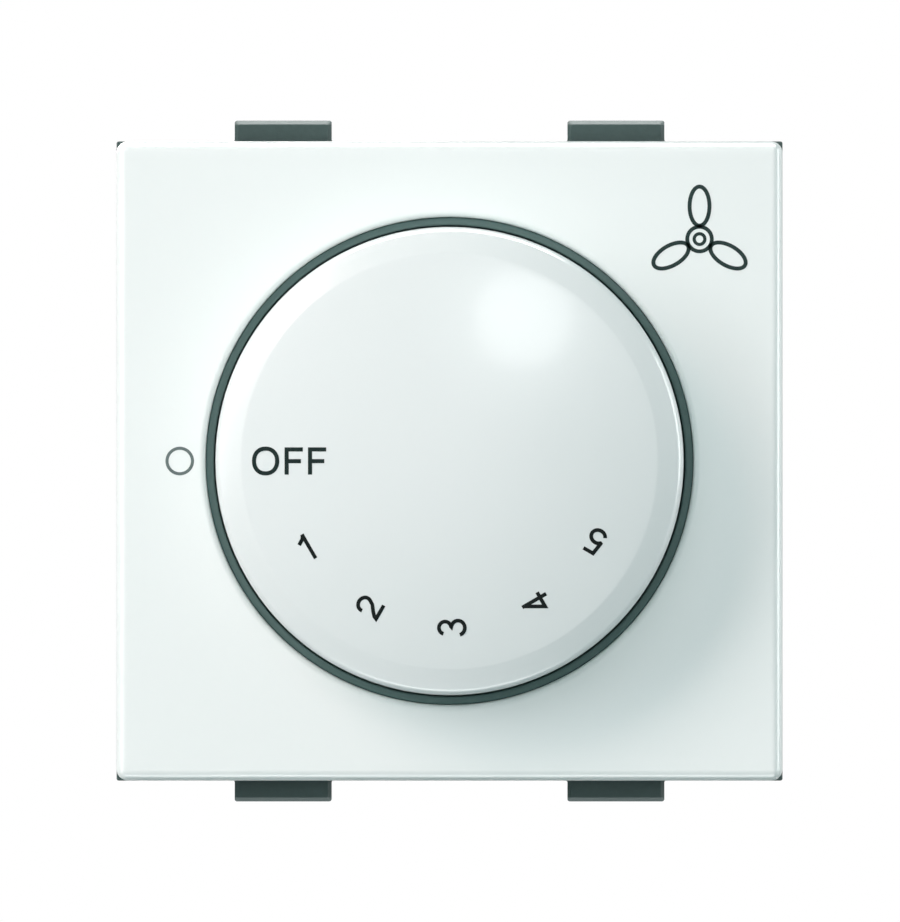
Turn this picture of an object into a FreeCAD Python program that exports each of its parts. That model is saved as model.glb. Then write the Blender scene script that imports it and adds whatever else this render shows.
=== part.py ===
import FreeCAD, Part
import math
import os

import Sketcher

# Fan speed control switch: a two-module snap-in insert with a round step knob.
# X runs to the right, Z up and the front looks along -Y.
# The origin lies on the knob's axis, in the plane where the insert rests on its support frame.

os.makedirs("parts", exist_ok=True)
doc = FreeCAD.newDocument("FanSpeedSwitch")
sheet = doc.addObject("Spreadsheet::Sheet", "Dims")

SIZES = (
    # front of the insert
    ("front_width", 45.0),
    ("front_height", 43.2),
    ("module_pitch", 22.5),
    # carrier frame
    ("flange_depth", 3.4),
    ("front_wall", 2.0),
    ("tab_width", 6.55),
    ("tab_reach", 1.42),
    ("tab_depth", 2.2),
    ("tab_bevel", 0.25),
    ("skirt_inset_side", 0.7),
    ("skirt_inset_top", 0.4),
    ("skirt_wall", 1.5),
    ("skirt_depth", 8.0),
    ("lip_depth", 2.8),
    ("lip_play", 0.15),
    ("post_width", 3.4),
    ("post_inset", 2.3),
    # snap latches that grip the support frame
    ("support_thickness", 2.0),
    ("latch_play", 0.2),
    ("latch_width", 5.0),
    ("latch_slot", 0.8),
    ("latch_reach", 1.1),
    ("latch_land", 0.8),
    ("latch_ramp", 3.4),
    # cover plate
    ("plate_inset", 0.08),
    ("plate_depth", 3.4),
    ("plate_wall", 1.8),
    ("plate_side_wall", 1.3),
    ("edge_round", 0.7),
    ("clip_side_gap", 5.3),
    ("clip_width", 3.0),
    ("clip_thickness", 1.0),
    ("clip_nose", 0.45),
    ("clip_play", 0.15),
    ("clip_ramp", 1.3),
    # knob
    ("knob_diameter", 31.5),
    ("ring_gap", 0.75),
    ("knob_height", 7.5),
    ("dome_rise", 1.6),
    ("rim_width", 1.8),
    ("rim_drop", 1.3),
    ("rim_mid_width", 1.15),
    ("rim_mid_drop", 0.5),
    ("knob_wall", 1.6),
    ("knob_top_wall", 2.8),
    ("knob_lift", 0.4),
    ("boss_diameter", 10.6),
    ("boss_gap", 0.6),
    ("rib_count", 6),
    ("rib_thickness", 1.0),
    ("rib_reach", 3.8),
    ("shaft_end_gap", 0.4),
    ("clip_strip_width", 3.4),
    ("clip_strip_thickness", 0.4),
    ("clip_lip", 1.8),
    # shaft, bushing, washer and nut
    ("shaft_diameter", 6.0),
    ("shaft_flat", 1.5),
    ("socket_play", 0.05),
    ("shaft_play", 0.05),
    ("shoulder_diameter", 9.0),
    ("shoulder_thickness", 0.8),
    ("axial_play", 0.1),
    ("square_side", 4.0),
    ("pilot_diameter", 3.0),
    ("bushing_diameter", 10.0),
    ("bushing_play", 0.1),
    ("bushing_flange", 14.0),
    ("switch_standoff", 1.0),
    ("stake_diameter", 9.0),
    ("thread_spare", 0.2),
    ("washer_diameter", 15.0),
    ("washer_thickness", 0.6),
    ("washer_teeth", 12),
    ("tooth_gap", 1.2),
    ("tooth_depth", 0.9),
    ("nut_flats", 14.0),
    ("nut_thickness", 2.0),
    # rotary switch
    ("switch_share", 0.625),
    ("switch_wall", 1.5),
    ("switch_depth", 11.6),
    ("back_thickness", 1.6),
    ("back_rim", 0.7),
    ("back_play", 0.05),
    ("step_angle", 30.0),
    ("speed_count", 5),
    ("rotor_gap", 1.0),
    ("star_step", 3.5),
    ("star_width", 2.6),
    ("notch_radius", 1.3),
    ("notch_offset", 0.4),
    ("hub_wall", 2.0),
    ("hub_step", 0.6),
    ("disc_thickness", 2.2),
    ("stop_play", 0.3),
    ("stop_width", 2.4),
    ("stop_angle_play", 2.0),
    ("lug_rest_angle", 270.0),
    ("lug_width", 2.4),
    ("lug_reach", 0.7),
    ("wiper_thickness", 0.4),
    ("wiper_width", 3.0),
    ("wiper_hub", 8.4),
    ("dimple_diameter", 1.8),
    ("dimple_height", 0.65),
    ("rotor_pin", 1.0),
    ("rotor_pin_inset", 0.8),
    ("contact_play", 0.05),
    ("track_step", 3.0),
    ("track_width", 1.6),
    ("contact_step", 2.6),
    ("contact_width", 2.4),
    ("contact_height", 0.3),
    ("tail_width", 1.2),
    ("tail_thickness", 0.6),
    ("pin_play", 0.1),
    ("foot_width", 2.4),
    ("foot_height", 2.8),
    ("foot_inset", 2.9),
    ("pip_width", 2.0),
    ("pip_length", 2.2),
    ("pip_step", 2.5),
    # detent spring
    ("spring_step", 2.0),
    ("spring_thickness", 0.3),
    ("spring_width", 2.2),
    ("spring_end_gap", 0.53),
    ("nose_half_base", 2.2),
    ("nose_bite", 1.15),
    ("nose_radius", 0.85),
    ("spring_post", 1.4),
    # circuit board and its parts
    ("board_thickness", 1.6),
    ("board_play", 0.2),
    ("cap_end_gap", 3.65),
    ("cap_height", 13.0),
    ("cap_bevel", 0.5),
    ("cap_lead_inset", 1.25),
    ("cap_gap", 1.0),
    ("cap_inset", 0.4),
    ("lead_width", 0.8),
    ("lead_spare", 0.9),
    ("resistor_length", 9.0),
    ("resistor_diameter", 3.6),
    ("resistor_pitch", 12.6),
    ("resistor_place", 6.9),
    ("resistor_gap", 0.4),
    ("block_gap", 0.6),
    # terminals
    ("terminal_place", 5.0),
    ("block_width", 21.0),
    ("block_height", 9.2),
    ("block_floor", 2.5),
    ("block_wall", 1.4),
    ("block_bevel", 0.5),
    ("wire_diameter", 3.8),
    ("wire_play", 0.2),
    ("clamp_width", 6.2),
    ("clamp_length", 8.2),
    ("clamp_height", 6.0),
    ("clamp_wall", 0.9),
    ("clamp_play", 0.2),
    ("clamp_tail", 1.0),
    ("screw_diameter", 2.9),
    ("screw_length", 4.0),
    ("screw_head", 4.6),
    ("screw_head_height", 1.6),
    ("screw_slot", 0.7),
    ("screw_play", 0.2),
    # rear housing
    ("latch_room", 1.8),
    ("housing_wall", 1.5),
    ("housing_side_gap", 0.15),
    ("housing_corner", 1.5),
    ("housing_edge", 0.8),
    ("rear_gap", 0.9),
    ("ledge_size", 2.8),
    ("window_front", 3.0),
    ("window_length", 2.6),
    ("window_width", 6.6),
    ("catch_play", 0.2),
    ("catch_reach", 1.1),
    ("spacer_width", 4.0),
    ("entry_diameter", 4.4),
    ("entry_bevel", 0.6),
    ("vent_count", 5),
    ("vent_width", 1.4),
    ("vent_length", 8.0),
    ("vent_pitch", 3.4),
)


class Size:
    """A number that keeps the sheet expression behind it, so one formula gives both."""

    def __init__(self, value, text):
        self.value = float(value)
        self.text = text

    def __add__(self, other):
        other = sized(other)
        return Size(self.value + other.value, f"({self.text} + {other.text})")

    def __sub__(self, other):
        other = sized(other)
        return Size(self.value - other.value, f"({self.text} - {other.text})")

    def __mul__(self, other):
        other = sized(other)
        return Size(self.value * other.value, f"({self.text} * {other.text})")

    def __truediv__(self, other):
        other = sized(other)
        return Size(self.value / other.value, f"({self.text} / {other.text})")

    def __neg__(self):
        return Size(-self.value, f"(0 - {self.text})")

    def __radd__(self, other):
        return sized(other) + self

    def __rsub__(self, other):
        return sized(other) - self

    def __rmul__(self, other):
        return sized(other) * self

    def __rtruediv__(self, other):
        return sized(other) / self


def sized(value):
    """A plain number as a size."""
    return value if isinstance(value, Size) else Size(value, f"({value})")


def root(size):
    """Square root of a size."""
    return Size(math.sqrt(size.value), f"sqrt({size.text})")


def polar(radius, degrees):
    """The point at a radius and an angle, anticlockwise from +X as seen from the front."""
    radius, degrees = sized(radius), sized(degrees)
    turn = math.radians(degrees.value)
    across = Size(radius.value * math.cos(turn), f"({radius.text} * cos({degrees.text}))")
    up = Size(radius.value * math.sin(turn), f"({radius.text} * sin({degrees.text}))")
    return across, up


class Sizes:
    """The driving dimensions, read back from the sheet by name."""

    def __getattr__(self, name):
        return Size(sheet.get(name), f"Dims.{name}")


for row, (alias, number) in enumerate(SIZES, start=1):
    sheet.set(f"A{row}", alias.replace("_", " "))
    sheet.set(f"B{row}", str(number))
    sheet.setAlias(f"B{row}", alias)
doc.recompute()
D = Sizes()


# Sketches and features

VIEWS = {"front": "XZ_Plane", "side": "YZ_Plane", "top": "XY_Plane"}


def bind(item, path, size):
    """Ties one property of an object to its size in the sheet."""
    item.setExpression(path, sized(size).text)


def new_body(label):
    body = doc.addObject("PartDesign::Body", label)
    body.Label = label
    return body


def new_sketch(body, view, height):
    """A sketch on one of the body's own planes, moved along that plane's normal."""
    plane = [f for f in body.Origin.OriginFeatures if f.Role == VIEWS[view]][0]
    sketch = body.newObject("Sketcher::SketchObject", f"{body.Label}_sketch")
    sketch.AttachmentSupport = [(plane, "")]
    sketch.MapMode = "FlatFace"
    bind(sketch, "AttachmentOffset.Base.z", height)
    return sketch


def constrain(sketch, kind, size, *where):
    index = sketch.addConstraint(Sketcher.Constraint(kind, *where, size.value))
    sketch.setExpression(f"Constraints[{index}]", size.text)


def fix_point(sketch, geometry, end, across, up):
    """Ties one point of a sketch to its two coordinates."""
    for kind, place, axis in (("DistanceX", across, -2), ("DistanceY", up, -1)):
        if isinstance(place, Size):
            constrain(sketch, kind, place, -1, 1, geometry, end)
        elif place == 0:
            sketch.addConstraint(Sketcher.Constraint("PointOnObject", geometry, end, axis))
        else:
            sketch.addConstraint(Sketcher.Constraint(kind, -1, 1, geometry, end, place))


def flat_point(corner):
    return FreeCAD.Vector(sized(corner[0]).value, sized(corner[1]).value, 0)


def arc_between(start, end, radius):
    """The short arc between two points: its centre lies left of the way for a positive radius."""
    way = end - start
    left = FreeCAD.Vector(-way.y, way.x, 0).normalize()
    reach = math.sqrt(max(radius**2 - (way.Length / 2) ** 2, 0.0))
    centre = (start + end) / 2 + left * math.copysign(reach, radius)
    ends = (start, end) if radius > 0 else (end, start)
    angles = [math.atan2(p.y - centre.y, p.x - centre.x) for p in ends]
    whole = Part.Circle(centre, FreeCAD.Vector(0, 0, 1), abs(radius))
    return Part.ArcOfCircle(whole, angles[0], angles[1])


def outline(*corners):
    """A closed outline; a corner's third value is the radius of the arc that leads on from it."""

    def draw(sketch):
        count = len(corners)
        heads = []
        tails = []
        for i, corner in enumerate(corners):
            start, end = flat_point(corner), flat_point(corners[(i + 1) % count])
            radius = sized(corner[2]) if len(corner) > 2 else None
            edge = arc_between(start, end, radius.value) if radius else Part.LineSegment(start, end)
            geometry = sketch.addGeometry(edge, False)
            backwards = radius is not None and radius.value < 0
            heads.append((geometry, 2 if backwards else 1))
            tails.append((geometry, 1 if backwards else 2))
            if radius:
                constrain(sketch, "Radius", -radius if backwards else radius, geometry)
        for i, corner in enumerate(corners):
            sketch.addConstraint(Sketcher.Constraint("Coincident", *tails[i - 1], *heads[i]))
            fix_point(sketch, *heads[i], corner[0], corner[1])

    return draw


def rectangle(left, right, low, high):
    return outline((left, low), (right, low), (right, high), (left, high))


def block(centre_x, centre_y, width, height):
    """A rectangle about its centre."""
    return rectangle(
        centre_x - width / 2, centre_x + width / 2, centre_y - height / 2, centre_y + height / 2
    )


def centred(width, height):
    return rectangle(-width / 2, width / 2, -height / 2, height / 2)


def disc(across, up, diameter):
    def draw(sketch):
        centre = flat_point((across, up))
        axis = FreeCAD.Vector(0, 0, 1)
        geometry = sketch.addGeometry(Part.Circle(centre, axis, diameter.value / 2), False)
        fix_point(sketch, geometry, 3, across, up)
        constrain(sketch, "Diameter", diameter, geometry)

    return draw


def pad(body, view, low, high, *shapes):
    """Adds drawn shapes as a block between two places on the view's axis."""
    low, high = sized(low), sized(high)
    sketch = new_sketch(body, view, -high if view == "front" else low)
    for shape in shapes:
        shape(sketch)
    feature = body.newObject("PartDesign::Pad", f"{body.Label}_pad")
    feature.Profile = sketch
    bind(feature, "Length", high - low)
    doc.recompute()
    return feature


def pocket(body, view, low, high, *shapes):
    """Cuts drawn shapes out between two places on the view's axis."""
    low, high = sized(low), sized(high)
    before = body.Shape.Volume
    sketch = new_sketch(body, view, -low if view == "front" else high)
    for shape in shapes:
        shape(sketch)
    feature = body.newObject("PartDesign::Pocket", f"{body.Label}_pocket")
    feature.Profile = sketch
    bind(feature, "Length", high - low)
    doc.recompute()
    if body.Shape.Volume >= before:
        raise RuntimeError(f"a pocket in {body.Label} cuts nothing")
    return feature


def turn(body, kind, *corners):
    """Turns a half profile (radius, depth) once round the body's own Y axis."""
    sketch = new_sketch(body, "top", 0)
    outline(*corners)(sketch)
    feature = body.newObject(f"PartDesign::{kind}", f"{body.Label}_turned")
    feature.Profile = sketch
    feature.ReferenceAxis = (sketch, ["V_Axis"])
    feature.Angle = 360
    doc.recompute()
    return feature


def round_front(body, front, radius, reach):
    """Cuts the front of a body to a sphere centred on its Y axis, out to a reach from the axis."""
    sketch = new_sketch(body, "side", 0)
    bind(sketch, "AttachmentOffset.Base.x", front + radius)
    near_end, far_end = -root(radius * radius - reach * reach), -(radius + reach)
    outline((near_end, -reach, -radius), (near_end, reach), (far_end, reach), (far_end, -reach))(sketch)
    feature = body.newObject("PartDesign::Groove", f"{body.Label}_dome")
    feature.Profile = sketch
    feature.ReferenceAxis = (sketch, ["V_Axis"])
    feature.Midplane = True
    feature.Angle = 90
    doc.recompute()
    return feature


def ring_of(body, feature, count):
    """Repeats a feature evenly round the body's Y axis."""
    axis = [f for f in body.Origin.OriginFeatures if f.Role == "Y_Axis"][0]
    pattern = body.newObject("PartDesign::PolarPattern", f"{body.Label}_ring")
    pattern.Originals = [feature]
    pattern.Axis = (axis, [""])
    pattern.Angle = 360
    bind(pattern, "Occurrences", count)
    body.Tip = pattern
    doc.recompute()
    return pattern


def dress(body, kind, size, wanted):
    """Rounds or bevels the edges that the test picks."""
    base = body.Tip
    edges = [f"Edge{i + 1}" for i, edge in enumerate(base.Shape.Edges) if wanted(edge)]
    if not edges:
        raise RuntimeError(f"no edge to dress on {body.Label}")
    feature = body.newObject(f"PartDesign::{kind}", f"{body.Label}_{kind.lower()}")
    feature.Base = (base, edges)
    bind(feature, "Radius" if kind == "Fillet" else "Size", size)
    body.Tip = feature
    doc.recompute()
    return feature


def near(value, size):
    return abs(value - sized(size).value) < 1e-4


def along(edge, axis):
    """Whether an edge runs straight along one axis."""
    box = edge.BoundBox
    lengths = {"x": box.XLength, "y": box.YLength, "z": box.ZLength}
    return near(lengths.pop(axis), edge.Length) and all(near(rest, 0) for rest in lengths.values())


def flat_at(edge, depth):
    """Whether an edge lies in a plane of constant depth."""
    return near(edge.BoundBox.YMin, depth) and near(edge.BoundBox.YMax, depth)


# Stations from the front to the back

carrier_front = -D.flange_depth
wall_rear = carrier_front + D.front_wall
plate_face = carrier_front - D.plate_depth
plate_inside = plate_face + D.plate_wall
knob_front = plate_face - D.knob_height
knob_inside = knob_front + D.knob_top_wall
knob_rear = carrier_front - D.knob_lift
washer_front = carrier_front - D.washer_thickness
nut_front = washer_front - D.nut_thickness
bushing_front = nut_front - D.thread_spare
boss_rear = bushing_front - D.boss_gap
shaft_front = knob_inside + D.shaft_end_gap
switch_front = wall_rear + D.switch_standoff
switch_inside = switch_front + D.switch_wall
switch_rear = switch_front + D.switch_depth
back_front = switch_rear - D.back_thickness
contact_front = back_front - D.contact_height
wiper_tip = contact_front - D.contact_play
wiper_rear = wiper_tip - D.dimple_height
rotor_rear = wiper_rear - D.wiper_thickness
shoulder_front = switch_inside + D.axial_play
rotor_front = shoulder_front + D.shoulder_thickness
star_front = rotor_front + D.hub_step
disc_front = rotor_rear - D.disc_thickness
board_front = switch_rear + D.foot_height
board_rear = board_front + D.board_thickness
housing_inside = board_rear + D.cap_height + D.rear_gap
housing_rear = housing_inside + D.housing_wall

# Half widths, half heights and radii that several pieces share

flange_x = D.front_width / 2
flange_z = D.front_height / 2
skirt_x = flange_x - D.skirt_inset_side
skirt_z = flange_z - D.skirt_inset_top
tray_x = skirt_x - D.skirt_wall
tray_z = skirt_z - D.skirt_wall
tab_x = D.module_pitch / 2
knob_radius = D.knob_diameter / 2
hole_diameter = D.knob_diameter + D.ring_gap * 2
lip_inner = D.knob_diameter + D.lip_play * 2
lip_outer = hole_diameter - D.socket_play * 2
clip_outer = tray_z - D.clip_nose - D.clip_play
clip_inner = clip_outer - D.clip_thickness
clip_place = tray_x - D.clip_side_gap
housing_x = tray_x - D.housing_side_gap
housing_z = tray_z - D.latch_room
inner_x = housing_x - D.housing_wall
inner_z = housing_z - D.housing_wall
post_x = inner_x - D.post_inset
post_z = inner_z - D.post_inset
switch_diameter = D.front_height * D.switch_share
switch_bore = switch_diameter - D.switch_wall * 2
bore_radius = switch_bore / 2
disc_radius = bore_radius - D.rotor_gap
star_radius = disc_radius - D.star_step
hub_diameter = D.square_side * root(sized(2)) + D.hub_wall * 2
contact_radius = disc_radius - D.contact_step
track_radius = contact_radius - D.track_step
foot_radius = switch_diameter / 2 - D.foot_inset
pip_place = D.bushing_flange / 2 + D.pip_step
spring_place = star_radius + D.spring_step
spring_half_length = root(bore_radius * bore_radius - spring_place * spring_place) - D.spring_end_gap
nose_depth = D.spring_step + D.nose_bite
notch_total = 360 / D.step_angle


# Carrier frame: dark moulding with the stop tabs, the skirt, its latches and the round lip

def sides():
    """The two signs of a mirrored pair."""
    return (-1, 1)


carrier = new_body("carrier_frame")
pad(carrier, "front", carrier_front, 0, centred(D.front_width, D.front_height))
tabs = [
    block(tab_x * a, (flange_z + D.tab_reach / 2) * b, D.tab_width, D.tab_reach)
    for a in sides()
    for b in sides()
]
pad(carrier, "front", -D.tab_depth, 0, *tabs)
dress(
    carrier,
    "Chamfer",
    D.tab_bevel,
    lambda e: flat_at(e, -D.tab_depth) and abs(e.CenterOfMass.z) > (flange_z + D.tab_bevel).value,
)
pad(carrier, "front", 0, D.skirt_depth, centred(skirt_x * 2, skirt_z * 2))
pocket(carrier, "front", wall_rear, D.skirt_depth, centred(tray_x * 2, tray_z * 2))
pad(carrier, "front", carrier_front - D.lip_depth, carrier_front, disc(0, 0, lip_outer))
pocket(carrier, "front", carrier_front - D.lip_depth, carrier_front, disc(0, 0, lip_inner))
slot_middle = (clip_inner + clip_outer + D.clip_play) / 2
slots = [
    block(
        clip_place * a,
        slot_middle * b,
        D.clip_width + D.clip_play * 2,
        D.clip_thickness + D.clip_play * 3,
    )
    for a in sides()
    for b in sides()
]
pip_slot = D.pip_width + D.bushing_play * 2
pocket(
    carrier,
    "front",
    carrier_front,
    wall_rear,
    disc(0, 0, D.bushing_diameter + D.bushing_play * 2),
    block(pip_place, sized(0), pip_slot, pip_slot),
    *slots,
)
pad(
    carrier,
    "front",
    wall_rear,
    board_front,
    *[block(post_x * a, post_z * b, D.post_width, D.post_width) for a in sides() for b in sides()],
)
arm_slots = [
    rectangle(
        tab_x * a + (D.latch_width / 2 + D.latch_slot / 2) * b - D.latch_slot / 2,
        tab_x * a + (D.latch_width / 2 + D.latch_slot / 2) * b + D.latch_slot / 2,
        D.latch_slot,
        D.skirt_depth,
    )
    for a in sides()
    for b in sides()
]
for side in sides():
    ends = sorted([tray_z * side, skirt_z * side], key=lambda size: size.value)
    pocket(carrier, "top", *ends, *arm_slots)
latch_front = D.support_thickness + D.latch_play
for a in sides():
    noses = []
    for b in sides():
        base, tip = (skirt_z - D.skirt_wall / 2) * b, (skirt_z + D.latch_reach) * b
        ramp_end = latch_front + D.latch_land + D.latch_ramp
        corners = [
            (latch_front, base),
            (latch_front, tip),
            (latch_front + D.latch_land, tip),
            (ramp_end, skirt_z * b),
            (ramp_end, base),
        ]
        noses.append(outline(*corners))
    centre = tab_x * a
    pad(carrier, "side", centre - D.latch_width / 2, centre + D.latch_width / 2, *noses)
for side in sides():
    ends = sorted([tray_x * side, skirt_x * side], key=lambda size: size.value)
    window = rectangle(
        D.window_front,
        D.window_front + D.window_length,
        -D.window_width / 2,
        D.window_width / 2,
    )
    pocket(carrier, "side", *ends, window)


# Cover plate: white shell with the knob's hole and four rear clips

plate = new_body("cover_plate")
plate_x = flange_x - D.plate_inset
plate_z = flange_z - D.plate_inset
pad(plate, "front", plate_face, carrier_front, centred(plate_x * 2, plate_z * 2))
dress(plate, "Fillet", D.edge_round, lambda e: along(e, "y") or flat_at(e, plate_face))
pocket(
    plate,
    "front",
    plate_inside,
    carrier_front,
    centred((plate_x - D.plate_side_wall) * 2, (plate_z - D.plate_side_wall) * 2),
)
pocket(plate, "front", plate_face, plate_inside, disc(0, 0, hole_diameter))
clip_end = wall_rear + D.clip_ramp + D.clip_play
for a in sides():
    legs = []
    for b in sides():
        catch = wall_rear + D.clip_play
        corners = [
            (plate_inside - D.plate_wall / 2, clip_inner * b),
            (plate_inside - D.plate_wall / 2, clip_outer * b),
            (catch, clip_outer * b),
            (catch, (clip_outer + D.clip_nose) * b),
            (clip_end, (clip_outer - D.clip_thickness / 2) * b),
            (clip_end, clip_inner * b),
        ]
        legs.append(outline(*corners))
    centre = clip_place * a
    pad(plate, "side", centre - D.clip_width / 2, centre + D.clip_width / 2, *legs)


# Knob: low white dome with a D socket in its boss and stiffening ribs

knob = new_body("knob")
dome_edge = knob_radius - D.rim_width
dome_radius = (dome_edge * dome_edge + D.dome_rise * D.dome_rise) / (D.dome_rise * 2)
shell_radius = knob_radius - D.knob_wall
turn(
    knob,
    "Revolution",
    (0, knob_front),
    (dome_edge - D.dome_rise * D.rim_mid_width / D.rim_mid_drop, knob_front),
    (dome_edge + D.rim_mid_width, knob_front + D.dome_rise + D.rim_mid_drop),
    (knob_radius, knob_front + D.dome_rise + D.rim_drop),
    (knob_radius, knob_rear),
    (shell_radius, knob_rear),
    (shell_radius, knob_inside),
    (0, knob_inside),
)
pad(knob, "front", knob_inside - D.knob_top_wall / 4, boss_rear, disc(0, 0, D.boss_diameter))
rib = pad(
    knob,
    "front",
    knob_inside - D.knob_top_wall / 4,
    knob_inside + D.rib_reach,
    rectangle(
        D.boss_diameter / 2 - D.knob_wall / 4,
        shell_radius + D.knob_wall / 4,
        -D.rib_thickness / 2,
        D.rib_thickness / 2,
    ),
)
ring_of(knob, rib, D.rib_count)


def d_outline(radius, flat):
    """A round outline with a flat above the axis."""
    half = root(radius * radius - flat * flat)
    return outline((half, flat), (-half, flat, radius), (0, -radius, radius))


socket_flat = D.shaft_flat + D.socket_play
pocket(
    knob,
    "front",
    knob_inside,
    boss_rear,
    d_outline(D.shaft_diameter / 2 + D.socket_play, socket_flat),
)
clip_low = socket_flat + D.socket_play
clip_high = clip_low + D.clip_strip_thickness
pocket(
    knob,
    "front",
    knob_inside + D.rib_reach / 4,
    boss_rear,
    rectangle(
        -(D.clip_strip_width / 2 + D.socket_play),
        D.clip_strip_width / 2 + D.socket_play,
        D.shaft_flat / 2,
        clip_high + D.socket_play,
    ),
)
round_front(knob, knob_front, dome_radius, knob_radius)

# Spring clip: bent steel strip that presses the knob onto the shaft's flat

spring_clip = new_body("knob_spring_clip")
lip_front = boss_rear + D.socket_play
pad(
    spring_clip,
    "side",
    -D.clip_strip_width / 2,
    D.clip_strip_width / 2,
    outline(
        (knob_inside + D.rib_reach / 4 + D.socket_play, clip_low),
        (lip_front + D.clip_strip_thickness, clip_low),
        (lip_front + D.clip_strip_thickness, clip_high + D.clip_lip),
        (lip_front, clip_high + D.clip_lip),
        (lip_front, clip_high),
        (knob_inside + D.rib_reach / 4 + D.socket_play, clip_high),
    ),
)


# Shaft: D end for the knob, shoulder, square for the rotor and pilot in the back plate

shaft = new_body("switch_shaft")
shaft_radius = D.shaft_diameter / 2
shaft_bevel = D.shaft_end_gap
pilot_radius = D.pilot_diameter / 2
turn(
    shaft,
    "Revolution",
    (0, shaft_front),
    (shaft_radius - shaft_bevel, shaft_front),
    (shaft_radius, shaft_front + shaft_bevel),
    (shaft_radius, shoulder_front),
    (D.shoulder_diameter / 2, shoulder_front),
    (D.shoulder_diameter / 2, rotor_front),
    (pilot_radius, rotor_front),
    (pilot_radius, switch_rear - D.pin_play),
    (0, switch_rear - D.pin_play),
)
pad(shaft, "front", rotor_front, rotor_rear, centred(D.square_side, D.square_side))
pocket(
    shaft,
    "front",
    shaft_front,
    bushing_front,
    rectangle(-shaft_radius, shaft_radius, D.shaft_flat, shaft_radius * 2),
)

# Bushing: threaded sleeve with the flange that seats on the carrier's front wall

bushing = new_body("switch_bushing")
bushing_radius = D.bushing_diameter / 2
sleeve_bore = shaft_radius + D.shaft_play
turn(
    bushing,
    "Revolution",
    (sleeve_bore, bushing_front),
    (bushing_radius, bushing_front),
    (bushing_radius, wall_rear),
    (D.bushing_flange / 2, wall_rear),
    (D.bushing_flange / 2, switch_front),
    (D.stake_diameter / 2, switch_front),
    (D.stake_diameter / 2, switch_inside),
    (sleeve_bore, switch_inside),
)

# Toothed lock washer and hexagon nut

thread_bore = D.bushing_diameter + D.shaft_play * 2
washer = new_body("lock_washer")
pad(
    washer,
    "front",
    washer_front,
    carrier_front,
    disc(0, 0, D.washer_diameter),
    disc(0, 0, thread_bore),
)
tooth = pocket(
    washer,
    "front",
    washer_front,
    carrier_front,
    block(D.washer_diameter / 2, sized(0), D.tooth_depth * 2, D.tooth_gap),
)
ring_of(washer, tooth, D.washer_teeth)

nut = new_body("bushing_nut")
nut_corner = D.nut_flats / root(sized(3))
hexagon = outline(*[polar(nut_corner, 60 * i + 30) for i in range(6)])
pad(nut, "front", nut_front, washer_front, hexagon, disc(0, 0, thread_bore))


# Rotary switch: can with the stops, the spring's slots and the locating pip

def radial(angle, low, high, width):
    """A rectangle that lies along a radius, between two distances from the axis."""
    low_end, high_end, side = polar(low, angle), polar(high, angle), polar(width / 2, angle + 90)
    return outline(
        (low_end[0] - side[0], low_end[1] - side[1]),
        (high_end[0] - side[0], high_end[1] - side[1]),
        (high_end[0] + side[0], high_end[1] + side[1]),
        (low_end[0] + side[0], low_end[1] + side[1]),
    )


stop_turn = D.step_angle * D.speed_count
lug_radius = disc_radius + D.lug_reach
stop_inner = disc_radius + D.stop_play
half_lug = math.degrees(D.lug_width.value / 2 / lug_radius.value)
half_stop = math.degrees(D.stop_width.value / 2 / bore_radius.value)
stop_offset = D.stop_angle_play + half_lug + half_stop

can = new_body("switch_can")
pad(can, "front", switch_front, switch_rear, disc(0, 0, switch_diameter))
pocket(can, "front", switch_inside, switch_rear, disc(0, 0, switch_bore))
pocket(
    can,
    "front",
    back_front,
    switch_rear,
    disc(0, 0, switch_diameter - D.back_rim * 2),
)
pocket(
    can,
    "front",
    switch_front,
    switch_inside,
    disc(0, 0, D.stake_diameter + D.socket_play * 2),
)
pip = block(pip_place, sized(0), D.pip_width, D.pip_width)
pad(can, "front", switch_front - D.pip_length, switch_front, pip)
for angle in (D.lug_rest_angle + stop_offset, D.lug_rest_angle - stop_turn - stop_offset):
    stop = radial(angle, stop_inner, bore_radius + D.switch_wall / 2, D.stop_width)
    pad(can, "front", switch_inside - D.switch_wall / 2, back_front, stop)
spring_inner = spring_place - D.spring_thickness / 2 - D.socket_play
spring_outer = spring_place + D.spring_thickness / 2 + D.socket_play
spring_front = star_front + (D.star_width - D.spring_width) / 2
posts = []
for side in sides():
    middle = (spring_half_length - D.spring_post) * side
    posts.append(block(spring_inner - D.spring_post / 2, middle, D.spring_post, D.spring_post))
    wall = root(bore_radius * bore_radius - middle * middle)
    low, high = middle - D.spring_post / 2, middle + D.spring_post / 2
    posts.append(rectangle(spring_outer, wall + D.switch_wall / 2, low, high))
pad(can, "front", switch_inside - D.switch_wall / 2, star_front + D.star_width, *posts)

# Back plate of the switch with its feet

back = new_body("switch_back")
contact_angles = [90 - D.step_angle * n for n in range(1, int(D.speed_count.value) + 1)]


def tail_outline(angle, radius, play):
    """The section of a contact's flat tail, or of its slot, across a radius."""
    half = D.tail_thickness / 2 + play
    return radial(angle, radius - half, radius + half, D.tail_width + play * 2)


def tail_slots(play):
    contact_slots = [tail_outline(angle, contact_radius, play) for angle in contact_angles]
    return [*contact_slots, tail_outline(180, track_radius, play)]


pad(
    back,
    "front",
    back_front,
    switch_rear,
    disc(0, 0, switch_diameter - (D.back_rim + D.back_play) * 2),
    disc(0, 0, D.pilot_diameter + D.shaft_play * 2),
    *tail_slots(D.pin_play / 2),
)
foot_angles = [90 + 120 * i for i in range(3)]
feet = [block(*polar(foot_radius, angle), D.foot_width, D.foot_width) for angle in foot_angles]
pad(back, "front", switch_rear, board_front, *feet)

# Rotor: hub, detent star and disc in one moulding, with the stop lug

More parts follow.
